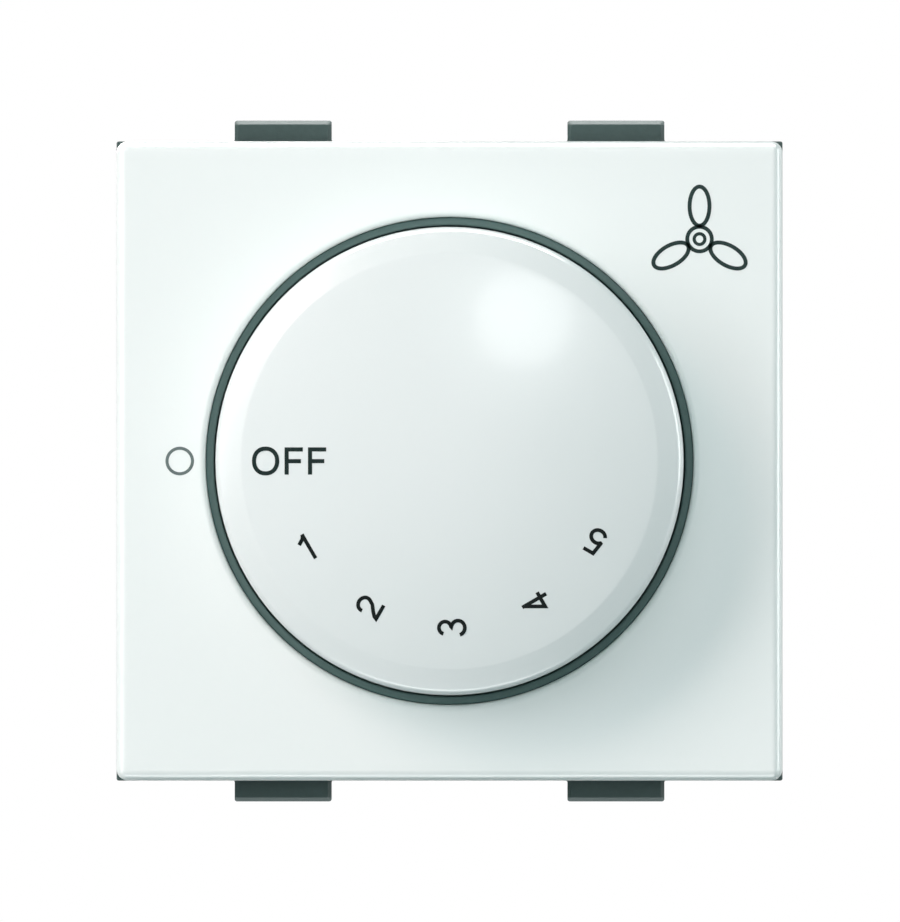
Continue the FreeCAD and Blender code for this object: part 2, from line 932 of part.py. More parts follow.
rotor = new_body("rotor")
pad(rotor, "front", rotor_front, rotor_rear, disc(0, 0, hub_diameter))
pad(rotor, "front", star_front, star_front + D.star_width, disc(0, 0, star_radius * 2))
notch = pocket(
    rotor,
    "front",
    star_front,
    star_front + D.star_width,
    disc(star_radius + D.notch_offset, 0, D.notch_radius * 2),
)
ring_of(rotor, notch, notch_total)
pad(rotor, "front", disc_front, rotor_rear, disc(0, 0, disc_radius * 2))
pad(
    rotor,
    "front",
    disc_front,
    rotor_rear,
    rectangle(-D.lug_width / 2, D.lug_width / 2, -lug_radius, -(disc_radius - D.lug_width)),
)
pocket(
    rotor,
    "front",
    rotor_front,
    rotor_rear,
    centred(D.square_side + D.socket_play * 2, D.square_side + D.socket_play * 2),
)
pin_place = D.wiper_hub / 2 - D.rotor_pin_inset
rotor_pins = [block(pin_place * a, sized(0), D.rotor_pin, D.rotor_pin) for a in sides()]
pad(rotor, "front", rotor_rear, wiper_rear, *rotor_pins)

# Wiper: brass spring strip that joins the common track to one fixed contact

wiper = new_body("wiper")
pad(wiper, "front", rotor_rear, wiper_rear, disc(0, 0, D.wiper_hub))
pad(
    wiper,
    "front",
    rotor_rear,
    wiper_rear,
    rectangle(
        -D.wiper_width / 2,
        D.wiper_width / 2,
        D.wiper_hub / 4,
        contact_radius + D.dimple_diameter / 2,
    ),
)
dimples = [disc(0, radius, D.dimple_diameter) for radius in (track_radius, contact_radius)]
pad(wiper, "front", wiper_rear, wiper_tip, *dimples)
pin_hole = D.rotor_pin + D.pin_play
pocket(
    wiper,
    "front",
    rotor_rear,
    wiper_rear,
    disc(0, 0, D.pilot_diameter + D.pin_play * 2),
    *[block(pin_place * a, sized(0), pin_hole, pin_hole) for a in sides()],
)


# Fixed contacts: five stamped pads in one node, each with a flat tail into the circuit board

tail_end = board_rear - D.pin_play


def put(item, across, depth, up):
    """Ties the place of an object to three sizes."""
    for axis, place in (("x", across), ("y", depth), ("z", up)):
        bind(item, f"Placement.Base.{axis}", place)
    return item


def turned_box(label, angle, radius, size, low, high):
    """A box centred on a radius and turned to lie along it; the size is along and across it."""
    item = doc.addObject("Part::Box", label)
    bind(item, "Length", size[0])
    bind(item, "Height", size[1])
    bind(item, "Width", high - low)
    rotation = FreeCAD.Rotation(FreeCAD.Vector(0, 1, 0), -angle.value)
    item.Placement = FreeCAD.Placement(FreeCAD.Vector(), rotation)
    inner, side = polar(radius - size[0] / 2, angle), polar(size[1] / 2, angle + 90)
    return put(item, inner[0] - side[0], low, inner[1] - side[1])


def fuse(label, *items):
    union = doc.addObject("Part::MultiFuse", label)
    union.Shapes = list(items)
    union.Label = label
    return union


stampings = []
for angle in contact_angles:
    head_size = (D.contact_width, D.contact_width)
    tail_size = (D.tail_thickness, D.tail_width)
    head = turned_box("head", angle, contact_radius, head_size, contact_front, back_front)
    tail = turned_box("tail", angle, contact_radius, tail_size, back_front, tail_end)
    stampings.append(fuse("stamping", head, tail))
contacts = doc.addObject("Part::Compound", "fixed_contacts")
contacts.Label = "fixed_contacts"
contacts.Links = stampings

# Common track: flat brass ring with one tail

track = new_body("common_track")
pad(
    track,
    "front",
    contact_front,
    back_front,
    disc(0, 0, track_radius * 2 + D.track_width),
    disc(0, 0, track_radius * 2 - D.track_width),
)
pad(track, "front", back_front, tail_end, tail_outline(180, track_radius, sized(0)))


# Detent spring: bent steel strip whose nose drops into the star's notches

def bent_path(points, radii):
    """Straight runs joined by tangent arcs."""
    edges = []
    start = points[0]
    for i, radius in enumerate(radii, start=1):
        corner = points[i]
        back = (points[i - 1] - corner).normalize()
        ahead = (points[i + 1] - corner).normalize()
        half = back.getAngle(ahead) / 2
        reach = radius / math.tan(half)
        middle = (back + ahead).normalize() * (radius / math.sin(half) - radius)
        entry, leave = corner + back * reach, corner + ahead * reach
        edges.append(Part.makeLine(start, entry))
        edges.append(Part.Arc(entry, corner + middle, leave).toShape())
        start = leave
    edges.append(Part.makeLine(start, points[-1]))
    return Part.Wire(edges)


def make_detent_spring():
    place = spring_place.value
    depth = spring_front.value
    thickness = D.spring_thickness.value
    route = [
        FreeCAD.Vector(place, depth, -spring_half_length.value),
        FreeCAD.Vector(place, depth, -D.nose_half_base.value),
        FreeCAD.Vector(place - nose_depth.value, depth, 0),
        FreeCAD.Vector(place, depth, D.nose_half_base.value),
        FreeCAD.Vector(place, depth, spring_half_length.value),
    ]
    radius = D.nose_radius.value
    path = bent_path(route, [radius, radius, radius])
    foot = [
        FreeCAD.Vector(place + x * thickness, depth + y * D.spring_width.value, route[0].z)
        for x, y in ((-0.5, 0), (0.5, 0), (0.5, 1), (-0.5, 1), (-0.5, 0))
    ]
    strip = path.makePipeShell([Part.makePolygon(foot)], True, False)
    feature = doc.addObject("Part::Feature", "detent_spring")
    feature.Label = "detent_spring"
    feature.Shape = strip
    feature.Placement = FreeCAD.Placement()
    return feature


detent_spring = make_detent_spring()


# Circuit board with the capacitors and resistors that set the speeds

block_low = -inner_z
block_high = block_low + D.block_height
resistor_z = block_high + D.block_gap + D.resistor_diameter / 2
resistor_y = board_rear + D.resistor_gap + D.resistor_diameter / 2
caps_low = resistor_z + D.resistor_diameter / 2 + D.resistor_gap
caps_high = inner_z - D.cap_inset
cap_thickness = (caps_high - caps_low - D.cap_gap) / 2
cap_z = (caps_high - cap_thickness / 2, caps_low + cap_thickness / 2)
cap_length = (inner_x - D.cap_end_gap) * 2
cap_lead_x = cap_length / 2 - D.cap_lead_inset
chamber_low = block_low + D.block_floor
chamber_front = board_rear + D.block_wall
clamp_front = chamber_front + D.clamp_play
clamp_rear = clamp_front + D.clamp_length
clamp_low = chamber_low + D.clamp_play
screw_z = clamp_low + D.clamp_height / 2
wire_y = clamp_front + D.clamp_wall + D.wire_play + D.wire_diameter / 2
terminal_x = [D.terminal_place * a for a in sides()]
clamp_slot = D.clamp_tail + D.pin_play * 2
lead_end = board_front - D.lead_spare

board = new_body("circuit_board")
lead_hole = D.lead_width + D.pin_play * 2
lead_places = [(cap_lead_x * a, z) for z in cap_z for a in sides()]
lead_places += [
    (D.resistor_place * a + D.resistor_pitch / 2 * b, resistor_z) for a in sides() for b in sides()
]
holes = tail_slots(D.pin_play)
holes += [block(*place, lead_hole, lead_hole) for place in lead_places]
holes += [block(x, screw_z, clamp_slot, clamp_slot) for x in terminal_x]
pad(
    board,
    "front",
    board_front,
    board_rear,
    centred((inner_x - D.board_play) * 2, (inner_z - D.board_play) * 2),
    *holes,
)

for label, z in zip(("capacitor_upper", "capacitor_lower"), cap_z):
    capacitor = new_body(label)
    pad(
        capacitor,
        "front",
        board_rear,
        board_rear + D.cap_height,
        block(sized(0), z, cap_length, cap_thickness),
    )
    dress(capacitor, "Chamfer", D.cap_bevel, lambda e: not flat_at(e, board_rear))
    leads = [block(cap_lead_x * a, z, D.lead_width, D.lead_width) for a in sides()]
    pad(capacitor, "front", lead_end, board_rear, *leads)


def straight_box(label, centre, depth, up, size):
    """A box from its middle and its size along X, Y and Z."""
    item = doc.addObject("Part::Box", label)
    for name, length in zip(("Length", "Width", "Height"), size):
        bind(item, name, length)
    return put(item, centre - size[0] / 2, depth - size[1] / 2, up - size[2] / 2)


def make_resistor(label, centre):
    """An axial resistor: a round body on two leads that bend down into the board."""
    half = D.resistor_length / 2
    rod = doc.addObject("Part::Cylinder", "rod")
    bind(rod, "Radius", D.resistor_diameter / 2)
    bind(rod, "Height", D.resistor_length)
    along_x = FreeCAD.Rotation(FreeCAD.Vector(0, 1, 0), 90)
    rod.Placement = FreeCAD.Placement(FreeCAD.Vector(), along_x)
    put(rod, centre - half, resistor_y, resistor_z)
    solids = [rod]
    for a in sides():
        elbow = D.resistor_pitch / 2 + D.lead_width / 2
        run = elbow - half
        middle = centre + (half + run / 2) * a
        size = (run, D.lead_width, D.lead_width)
        solids.append(straight_box("lead", middle, resistor_y, resistor_z, size))
        drop = resistor_y + D.lead_width / 2 - lead_end
        place = centre + D.resistor_pitch / 2 * a
        size = (D.lead_width, drop, D.lead_width)
        solids.append(straight_box("lead", place, lead_end + drop / 2, resistor_z, size))
    return fuse(label, *solids)


resistors = [
    make_resistor(label, D.resistor_place * a)
    for label, a in zip(("bleed_resistor", "surge_resistor"), sides())
]


# Terminal block with a cage clamp and a screw for each wire

terminals = new_body("terminal_block")
pad(
    terminals,
    "front",
    board_rear,
    housing_inside,
    rectangle(-D.block_width / 2, D.block_width / 2, block_low, block_high),
)
dress(
    terminals,
    "Chamfer",
    D.block_bevel,
    lambda e: along(e, "y") and near(e.CenterOfMass.z, block_high),
)
chamber_width = D.clamp_width + D.clamp_play * 2
chamber_rear = clamp_rear + D.clamp_play
pocket(
    terminals,
    "top",
    chamber_low,
    block_high,
    *[
        rectangle(x - chamber_width / 2, x + chamber_width / 2, chamber_front, chamber_rear)
        for x in terminal_x
    ],
)
pocket(
    terminals,
    "top",
    block_low,
    chamber_low,
    *[disc(x, wire_y, D.wire_diameter) for x in terminal_x],
)
screw_well = D.screw_head + D.screw_play * 2
pocket(
    terminals,
    "front",
    chamber_rear,
    housing_inside,
    *[disc(x, screw_z, screw_well) for x in terminal_x],
)
pocket(
    terminals,
    "front",
    board_rear,
    chamber_front,
    *[block(x, screw_z, clamp_slot, clamp_slot) for x in terminal_x],
)


def make_clamp(label, x):
    """A brass cage: the wire lies in it and the screw comes through its rear wall."""
    clamp = new_body(label)
    half = D.clamp_width / 2
    cage = rectangle(x - half, x + half, clamp_front, clamp_rear)
    gap = rectangle(
        x - (half - D.clamp_wall),
        x + (half - D.clamp_wall),
        clamp_front + D.clamp_wall,
        clamp_rear - D.clamp_wall,
    )
    pad(clamp, "top", clamp_low, clamp_low + D.clamp_height, cage, gap)
    screw_hole = disc(x, screw_z, D.screw_diameter + D.shaft_play * 2)
    pocket(clamp, "front", clamp_rear - D.clamp_wall, clamp_rear, screw_hole)
    tail = block(x, screw_z, D.clamp_tail, D.clamp_tail)
    pad(clamp, "front", board_front - D.pin_play, clamp_front, tail)
    return clamp


def make_terminal_screw(label, x):
    """A slotted screw, opened to leave the way of the wire free."""
    screw = new_body(label)
    tip = wire_y + D.wire_diameter / 2 + D.wire_play
    head = tip + D.screw_length
    thread = D.screw_diameter / 2
    head_radius = D.screw_head / 2
    turn(
        screw,
        "Revolution",
        (0, tip),
        (thread, tip),
        (thread, head),
        (head_radius, head),
        (head_radius, head + D.screw_head_height),
        (0, head + D.screw_head_height),
    )
    pocket(
        screw,
        "front",
        head + D.screw_head_height / 2,
        head + D.screw_head_height,
        centred(D.screw_head + D.screw_slot, D.screw_slot),
    )
    bind(screw, "Placement.Base.x", x)
    bind(screw, "Placement.Base.z", screw_z)
    return screw


for name, x in zip(("line", "load"), terminal_x):
    make_clamp(f"terminal_clamp_{name}", x)
    make_terminal_screw(f"terminal_screw_{name}", x)


# Rear housing: deep cup that snaps into the carrier's skirt

housing = new_body("rear_housing")
pad(housing, "front", wall_rear, housing_rear, centred(housing_x * 2, housing_z * 2))
dress(housing, "Fillet", D.housing_corner, lambda e: along(e, "y"))
dress(housing, "Chamfer", D.housing_edge, lambda e: flat_at(e, housing_rear))
pocket(housing, "front", wall_rear, housing_inside, centred(inner_x * 2, inner_z * 2))
ledges = [
    block(
        (inner_x - D.ledge_size / 2) * a,
        (inner_z - D.ledge_size / 2) * b,
        D.ledge_size,
        D.ledge_size,
    )
    for a in sides()
    for b in sides()
]
pad(housing, "front", board_rear, housing_inside, *ledges)
pocket(
    housing,
    "front",
    housing_inside,
    housing_rear,
    *[disc(x, screw_z, screw_well) for x in terminal_x],
)
pocket(
    housing,
    "top",
    -housing_z,
    -inner_z,
    *[disc(x, wire_y, D.entry_diameter) for x in terminal_x],
)
dress(
    housing,
    "Chamfer",
    D.entry_bevel,
    lambda e: near(e.BoundBox.ZMax, -housing_z) and near(e.BoundBox.XLength, D.entry_diameter),
)
vent_rear = housing_inside - D.ledge_size
vents = [
    block(
        D.vent_pitch * (i - (D.vent_count.value - 1) / 2),
        vent_rear - D.vent_length / 2,
        D.vent_width,
        D.vent_length,
    )
    for i in range(int(D.vent_count.value))
]
pocket(housing, "top", inner_z, housing_z, *vents)
catch_front = D.window_front + D.catch_play
catch_rear = D.window_front + D.window_length - D.catch_play
catches = [
    outline(
        ((housing_x - D.housing_wall / 2) * a, catch_front),
        (housing_x * a, catch_front),
        ((housing_x + D.catch_reach) * a, catch_rear - D.catch_play),
        ((housing_x + D.catch_reach) * a, catch_rear),
        ((housing_x - D.housing_wall / 2) * a, catch_rear),
    )
    for a in sides()
]
catch_half = D.window_width / 2 - D.catch_play
pad(housing, "top", -catch_half, catch_half, *catches)
spacers = [
    block(
        sized(0),
        (housing_z + tray_z - D.housing_side_gap) / 2 * b,
        D.spacer_width,
        tray_z - D.housing_side_gap - housing_z,
    )
    for b in sides()
]
pad(housing, "front", wall_rear, D.skirt_depth, *spacers)


# Test every object, then write one file for each piece

doc.recompute()
for item in doc.Objects:
    if "Invalid" in item.State or "Error" in item.State:
        raise RuntimeError(f"{item.Label} failed: {item.State}")
bodies = doc.findObjects("PartDesign::Body")
pieces = [*bodies, contacts, detent_spring, *resistors]
for piece in pieces:
    if piece.Shape.isNull() or not piece.Shape.isValid():
        raise RuntimeError(f"{piece.Label} has no valid shape")
for piece in pieces:
    piece.Shape.exportStep(f"parts/{piece.Label}.step")
    print(f"{piece.Label}: {len(piece.Shape.Solids)} solid, {piece.Shape.Volume:.1f} mm3")
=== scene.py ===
import math

import bmesh
import bpy
from mathutils import Matrix, Vector


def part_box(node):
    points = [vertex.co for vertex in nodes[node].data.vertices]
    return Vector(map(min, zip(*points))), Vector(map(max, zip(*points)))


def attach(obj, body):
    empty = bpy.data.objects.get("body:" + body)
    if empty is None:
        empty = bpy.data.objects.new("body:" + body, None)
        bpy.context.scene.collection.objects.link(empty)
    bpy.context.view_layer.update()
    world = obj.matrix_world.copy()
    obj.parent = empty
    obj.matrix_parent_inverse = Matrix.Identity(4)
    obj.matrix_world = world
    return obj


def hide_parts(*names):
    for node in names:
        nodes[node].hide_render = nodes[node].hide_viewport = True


# Looks of the fan speed control switch: a plate and a knob with soft edges, the finish of every
# piece, the print on the front, the camera, the light and the floor. Lengths of the switch are in
# millimetres and become metres in point(); the studio and the shaders' places are in metres.

MM_PER_METRE = 1000
ROUND_STEPS = 192

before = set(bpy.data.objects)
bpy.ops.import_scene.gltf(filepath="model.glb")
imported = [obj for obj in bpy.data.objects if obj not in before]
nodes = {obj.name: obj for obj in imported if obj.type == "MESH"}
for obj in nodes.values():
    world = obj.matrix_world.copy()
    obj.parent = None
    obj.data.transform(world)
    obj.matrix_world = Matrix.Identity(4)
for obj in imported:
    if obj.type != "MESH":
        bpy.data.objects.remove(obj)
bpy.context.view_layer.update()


# Places that follow the model

def size_of(node):
    """Lowest and highest corner of a node in millimetres."""
    low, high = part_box(node)
    return [value * MM_PER_METRE for value in low], [value * MM_PER_METRE for value in high]


knob_low, knob_high = size_of("knob")
plate_low, plate_high = size_of("cover_plate")
knob_radius = knob_high[0]
knob_front = knob_low[1]
knob_rear = knob_high[1]
plate_face = plate_low[1]
dome_rise = 1.6
rim_width = 1.8
dome_edge = knob_radius - rim_width
dome_radius = (dome_edge**2 + dome_rise**2) / (2 * dome_rise)


def point(x, y, z):
    """A place in metres from one in millimetres."""
    return Vector((x, y, z)) / MM_PER_METRE


# Mesh helpers

def piece_from(name, mesh_data, body, material, sharp_angle=35):
    """Turns a bmesh into a smooth shaded piece that rides on a body."""
    mesh = bpy.data.meshes.new(name)
    bmesh.ops.recalc_face_normals(mesh_data, faces=mesh_data.faces)
    mesh_data.to_mesh(mesh)
    mesh_data.free()
    mesh.shade_smooth()
    mesh.set_sharp_from_angle(angle=math.radians(sharp_angle))
    mesh.materials.append(material)
    piece = bpy.data.objects.new(name, mesh)
    bpy.context.scene.collection.objects.link(piece)
    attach(piece, body)
    return piece


def lathe(mesh_data, profile):
    """Turns a (radius, depth) profile, which starts and ends on the knob's axis, once round it."""
    rings = []
    for radius, depth in profile:
        if radius == 0:
            rings.append([mesh_data.verts.new(point(0, depth, 0))])
            continue
        ring = []
        for i in range(ROUND_STEPS):
            turn = math.tau * i / ROUND_STEPS
            place = point(radius * math.cos(turn), depth, radius * math.sin(turn))
            ring.append(mesh_data.verts.new(place))
        rings.append(ring)
    for first, second in zip(rings, rings[1:]):
        for i in range(ROUND_STEPS):
            j = (i + 1) % ROUND_STEPS
            if len(first) == 1:
                mesh_data.faces.new((first[0], second[i], second[j]))
            elif len(second) == 1:
                mesh_data.faces.new((first[i], first[j], second[0]))
            else:
                mesh_data.faces.new((first[i], first[j], second[j], second[i]))


def arc(centre, radii, start, end, steps):
    """Points on the arc of a circle or an ellipse; the angles are in degrees."""
    points = []
    for i in range(steps + 1):
        turn = math.radians(start + (end - start) * i / steps)
        across, up = radii[0] * math.cos(turn), radii[1] * math.sin(turn)
        points.append((centre[0] + across, centre[1] + up))
    return points


def ribbon(mesh_data, path, width, surface, closed=False):
    """A thin raised line of ink that follows a path on a surface."""
    thickness = 0.02
    sharpest_lean = 0.5
    count = len(path)
    sections = []
    for i, here in enumerate(path):
        before = path[i - 1] if closed or i > 0 else here
        after = path[(i + 1) % count] if closed or i < count - 1 else here
        steps = []
        for a, b in ((before, here), (here, after)):
            length = math.hypot(b[0] - a[0], b[1] - a[1])
            if length > 0:
                steps.append(((b[0] - a[0]) / length, (b[1] - a[1]) / length))
        along = (sum(s[0] for s in steps), sum(s[1] for s in steps))
        size = math.hypot(*along) or 1.0
        side = (-along[1] / size, along[0] / size)
        stretch = 1.0
        if len(steps) == 2:
            lean = -steps[0][1] * side[0] + steps[0][0] * side[1]
            stretch = 1 / max(lean, sharpest_lean)
        half = width / 2 * stretch
        corners = []
        section = ((half, thickness), (-half, thickness), (-half, -thickness), (half, -thickness))
        for offset, lift in section:
            place = surface(here[0] + side[0] * offset, here[1] + side[1] * offset, lift)
            corners.append(mesh_data.verts.new(place))
        sections.append(corners)
    pairs = list(zip(sections, sections[1:]))
    if closed:
        pairs.append((sections[-1], sections[0]))
    for first, second in pairs:
        for i in range(4):
            j = (i + 1) % 4
            mesh_data.faces.new((first[i], first[j], second[j], second[i]))
    if not closed:
        mesh_data.faces.new(sections[0])
        mesh_data.faces.new(sections[-1][::-1])


def dome_depth(radius):
    """Depth of the knob's dome at a radius."""
    return knob_front + dome_radius - math.sqrt(dome_radius**2 - radius**2)


def on_dome(x, z, lift):
    """A place on the knob's dome, lifted a little off it."""
    return point(x, dome_depth(math.hypot(x, z)) - lift, z)


def on_plate(x, z, lift):
    """A place on the plate's face, lifted a little off it."""
    return point(x, plate_face - lift, z)


# Materials

def colour(red, green, blue):
    """A screen colour (0 to 255) as the linear colour that shaders use."""
    values = []
    for value in (red, green, blue):
        value /= 255
        values.append(value / 12.92 if value <= 0.04045 else ((value + 0.055) / 1.055) ** 2.4)
    return (*values, 1.0)


class Value:
    """A number that varies over a surface, so shader sums read as plain sums."""

    def __init__(self, graph, socket):
        self.graph = graph
        self.socket = socket

    def sum(self, operation, first, second):
        """One sum of two numbers, plain or varying."""
        return self.graph.node("ShaderNodeMath", {"operation": operation}, {0: first, 1: second})

    def __add__(self, other):
        return self.sum("ADD", self, other)

    def __sub__(self, other):
        return self.sum("SUBTRACT", self, other)

    def __mul__(self, other):
        return self.sum("MULTIPLY", self, other)

    def __rsub__(self, other):
        return self.sum("SUBTRACT", other, self)

    __radd__ = __add__
    __rmul__ = __mul__

    def larger(self, other):
        """The larger of the two at each place."""
        return self.sum("MAXIMUM", self, other)

    def between(self, low, high):
        """0 below the low mark, 1 above the high one and a smooth step in between."""
        settings = {"interpolation_type": "SMOOTHSTEP"}
        inputs = {"Value": self, "From Min": low, "From Max": high}
        return self.graph.node("ShaderNodeMapRange", settings, inputs)


class Graph:
    """The nodes of one material or of the surroundings."""

    def __init__(self, owner):
        owner.use_nodes = True
        self.tree = owner.node_tree

    def node(self, kind, settings=None, inputs=None, output=0):
        """Adds a node: its settings first, then its values or links."""
        node = self.tree.nodes.new(kind)
        for name, value in (settings or {}).items():
            setattr(node, name, value)
        for name, value in (inputs or {}).items():
            if isinstance(value, Value):
                self.tree.links.new(value.socket, node.inputs[name])
            else:
                node.inputs[name].default_value = value
        return Value(self, node.outputs[output])


class Finish(Graph):
    """One material, made from a plain description of its surface."""

    def __init__(self, name, **sockets):
        self.material = bpy.data.materials.new(name)
        super().__init__(self.material)
        self.shader = self.tree.nodes["Principled BSDF"]
        for socket, value in sockets.items():
            self.shader.inputs[socket.replace("_", " ")].default_value = value
        self.place = self.node("ShaderNodeTexCoord", output="Object")

    def drive(self, socket, value):
        """Links a varying value to one socket of the shader."""
        self.tree.links.new(value.socket, self.shader.inputs[socket])

    def noise(self, scale, detail=3.0, roughness=0.5, stretch=None):
        """A cloudy pattern; a larger scale makes it finer."""
        place = self.stretched(stretch) if stretch else self.place
        inputs = {"Vector": place, "Scale": scale, "Detail": detail, "Roughness": roughness}
        return self.node("ShaderNodeTexNoise", None, inputs)

    def stretched(self, factors):
        """The place on the object, stretched along each axis."""
        inputs = {0: self.place, 1: factors}
        return self.node("ShaderNodeVectorMath", {"operation": "MULTIPLY"}, inputs)

    def away(self, ways):
        """Distance from the origin in metres, counted only along some of the axes."""
        inputs = {0: self.stretched(ways)}
        return self.node("ShaderNodeVectorMath", {"operation": "LENGTH"}, inputs, "Value")

    def mix(self, amount, first, second):
        """One colour over another by a varying amount."""
        inputs = {0: amount, 6: first, 7: second}
        return self.node("ShaderNodeMix", {"data_type": "RGBA"}, inputs, output=2)

    def bump(self, height, depth_mm):
        """Raises the surface by a varying height."""
        inputs = {"Height": height, "Distance": depth_mm / MM_PER_METRE, "Strength": 1.0}
        self.drive("Normal", self.node("ShaderNodeBump", None, inputs))


def gloss_plastic(name, base, tint, roughness):
    """Polished moulded plastic with faint flow marks and a shallow waviness."""
    finish = Finish(name, IOR=1.5, Coat_Weight=0.25, Coat_Roughness=0.08)
    cloud = finish.noise(60, 2.0).between(0.35, 0.75)
    finish.drive("Base Color", finish.mix(cloud, colour(*base), colour(*tint)))
    finish.drive("Roughness", finish.noise(35, 0.0) * 0.02 + roughness)
    finish.bump(finish.noise(130, 0.0), 0.002)
    return finish.material


def satin_plastic(name, base, tint, roughness=0.42, grain=2600, shine=0.5, painted_light_masks=None):
    """Spark-eroded moulding: a fine grain breaks up the shine, and the places that the optional
    masks pick are painted lighter, as painted light.
    """
    finish = Finish(name, IOR=1.48, Specular_IOR_Level=shine)
    grainy = finish.noise(grain, 3.0, 0.6)
    cloud = (finish.noise(90, 2.0) * 0.6 + grainy * 0.4).between(0.35, 0.7)
    tone = finish.mix(cloud, colour(*base), colour(*tint))
    # Painted light: each mask mixes in a lighter colour, here a lighter lip in the knob's gap and
    # a painted highlight on the tab edges.
    for amount, lighter in painted_light_masks(finish) if painted_light_masks else ():
        tone = finish.mix(amount, tone, colour(*lighter))
    finish.drive("Base Color", tone)
    finish.drive("Roughness", grainy * 0.16 + roughness)
    finish.bump(grainy, 0.02)
    return finish.material


def carrier_painted_light(finish):
    """Painted light on the carrier: the lip that the knob turns in is lighter, standing in for
    light and reflection in the gap, and the outer edges of the stop tabs carry a painted
    highlight.
    """
    lip_ends = (0.0166, 0.0168)
    tab_edge_starts = (0.0227, 0.0228)
    # Painted light: the lip in the knob's gap is mixed lighter in place of the light and
    # reflection that reach it.
    lip_painted_light = 1 - finish.away((1, 0, 1)).between(*lip_ends)
    # Painted highlight: the outer edges of the stop tabs are mixed lighter in place of the sheen
    # on their chamfers.
    tab_painted_highlight = finish.away((0, 0, 1)).between(*tab_edge_starts)
    return (lip_painted_light, (86, 110, 107)), (tab_painted_highlight, (112, 124, 122))


def plated_metal(name, base, tint, roughness=0.24, streak=(1, 14, 14)):
    """Metal with drawn or turned marks and a little tarnish."""
    finish = Finish(name, Metallic=1.0)
    marks = finish.noise(900, 3.0, 0.6, stretch=streak)
    tarnish = finish.noise(220, 4.0, 0.55).between(0.45, 0.75)
    finish.drive("Base Color", finish.mix(tarnish, colour(*base), colour(*tint)))
    finish.drive("Roughness", marks * 0.18 + tarnish * 0.12 + roughness)
    finish.bump(marks, 0.008)
    return finish.material


def laminate(name, base, tint, weave=1500):
    """Pressed board with the weave of its filler under the coat."""
    finish = Finish(name, IOR=1.5, Coat_Weight=0.3, Coat_Roughness=0.2)
    threads = {"Vector": finish.place, "Scale": weave}
    across = finish.node("ShaderNodeTexWave", {"bands_direction": "X"}, threads)
    down = finish.node("ShaderNodeTexWave", {"bands_direction": "Z"}, threads)
    cloth = across * 0.5 + down * 0.5
    shade = cloth * 0.5 + finish.noise(300) * 0.5
    finish.drive("Base Color", finish.mix(shade, colour(*base), colour(*tint)))
    finish.drive("Roughness", cloth * 0.15 + 0.35)
    finish.bump(cloth, 0.01)
    return finish.material


def printed_ink(name, base):
    """Pad-printed ink, a little uneven where the film is thin."""
    finish = Finish(name, Specular_IOR_Level=0.1)
    thin_film = 10
    patchy = finish.noise(2500, 3.0, 0.6).between(0.3, 0.8)
    lighter = tuple(value + thin_film for value in base)
    finish.drive("Base Color", finish.mix(patchy, colour(*base), colour(*lighter)))
    finish.drive("Roughness", patchy * 0.1 + 0.45)
    return finish.material


white_plastic = gloss_plastic("white_gloss_plastic", (227, 235, 233), (228, 236, 234), 0.27)
knob_plastic = gloss_plastic("white_knob_plastic", (219, 227, 226), (220, 228, 227), 0.25)
# The carrier's plastic carries painted light: a lighter lip and lighter outer tab edges.
dark_plastic = satin_plastic(
    "dark_satin_plastic", (58, 76, 74), (63, 82, 80), shine=0.2, painted_light_masks=carrier_painted_light
)
housing_plastic = satin_plastic("housing_plastic", (214, 217, 213), (222, 224, 220), 0.5, 1800)
black_moulding = satin_plastic("black_moulding", (30, 30, 32), (38, 38, 40))
natural_nylon = satin_plastic("natural_nylon", (226, 219, 200), (232, 227, 212), 0.4, 1400)
paper_laminate = laminate("paper_laminate", (128, 84, 48), (146, 98, 58), 900)
board_laminate = laminate("board_laminate", (30, 92, 52), (40, 108, 62))
film_box = gloss_plastic("film_capacitor_box", (188, 174, 122), (200, 186, 134), 0.35)
resistor_coat = gloss_plastic("resistor_coat", (150, 178, 186), (160, 188, 196), 0.4)
contact_brass = plated_metal("contact_brass", (214, 176, 104), (188, 146, 82))
plated_brass = plated_metal("nickel_plated_brass", (208, 206, 198), (190, 186, 174), 0.2)
plated_steel = plated_metal("zinc_plated_steel", (198, 200, 204), (176, 180, 186), 0.28)
spring_steel = plated_metal("spring_steel", (186, 188, 192), (160, 160, 162), 0.25, (14, 1, 1))
word_ink = printed_ink("word_ink", (16, 33, 31))
number_ink = printed_ink("number_ink", (0, 10, 9))
sign_ink = printed_ink("sign_ink", (32, 50, 48))
grey_ink = printed_ink("grey_ink", (94, 108, 106))

FINISHES = {
    "carrier_frame": dark_plastic,
    "cover_plate": white_plastic,
    "knob": knob_plastic,
    "knob_spring_clip": spring_steel,
    "switch_shaft": plated_steel,
    "switch_bushing": plated_brass,
    "lock_washer": spring_steel,
    "bushing_nut": plated_brass,
    "switch_can": black_moulding,
    "switch_back": paper_laminate,
    "rotor": natural_nylon,
    "wiper": contact_brass,
    "fixed_contacts": contact_brass,
    "common_track": contact_brass,
    "detent_spring": spring_steel,
    "circuit_board": board_laminate,
    "capacitor_upper": film_box,
    "capacitor_lower": film_box,
    "bleed_resistor": resistor_coat,
    "surge_resistor": resistor_coat,
    "terminal_block": black_moulding,
    "terminal_clamp_line": contact_brass,
    "terminal_clamp_load": contact_brass,
    "terminal_screw_line": plated_steel,
    "terminal_screw_load": plated_steel,
    "rear_housing": housing_plastic,
}
for name, material in FINISHES.items():
    mesh = nodes[name].data
    mesh.materials.clear()
    mesh.materials.append(material)


# Carrier: it keeps its shape, and only its sharp edges are rounded a little

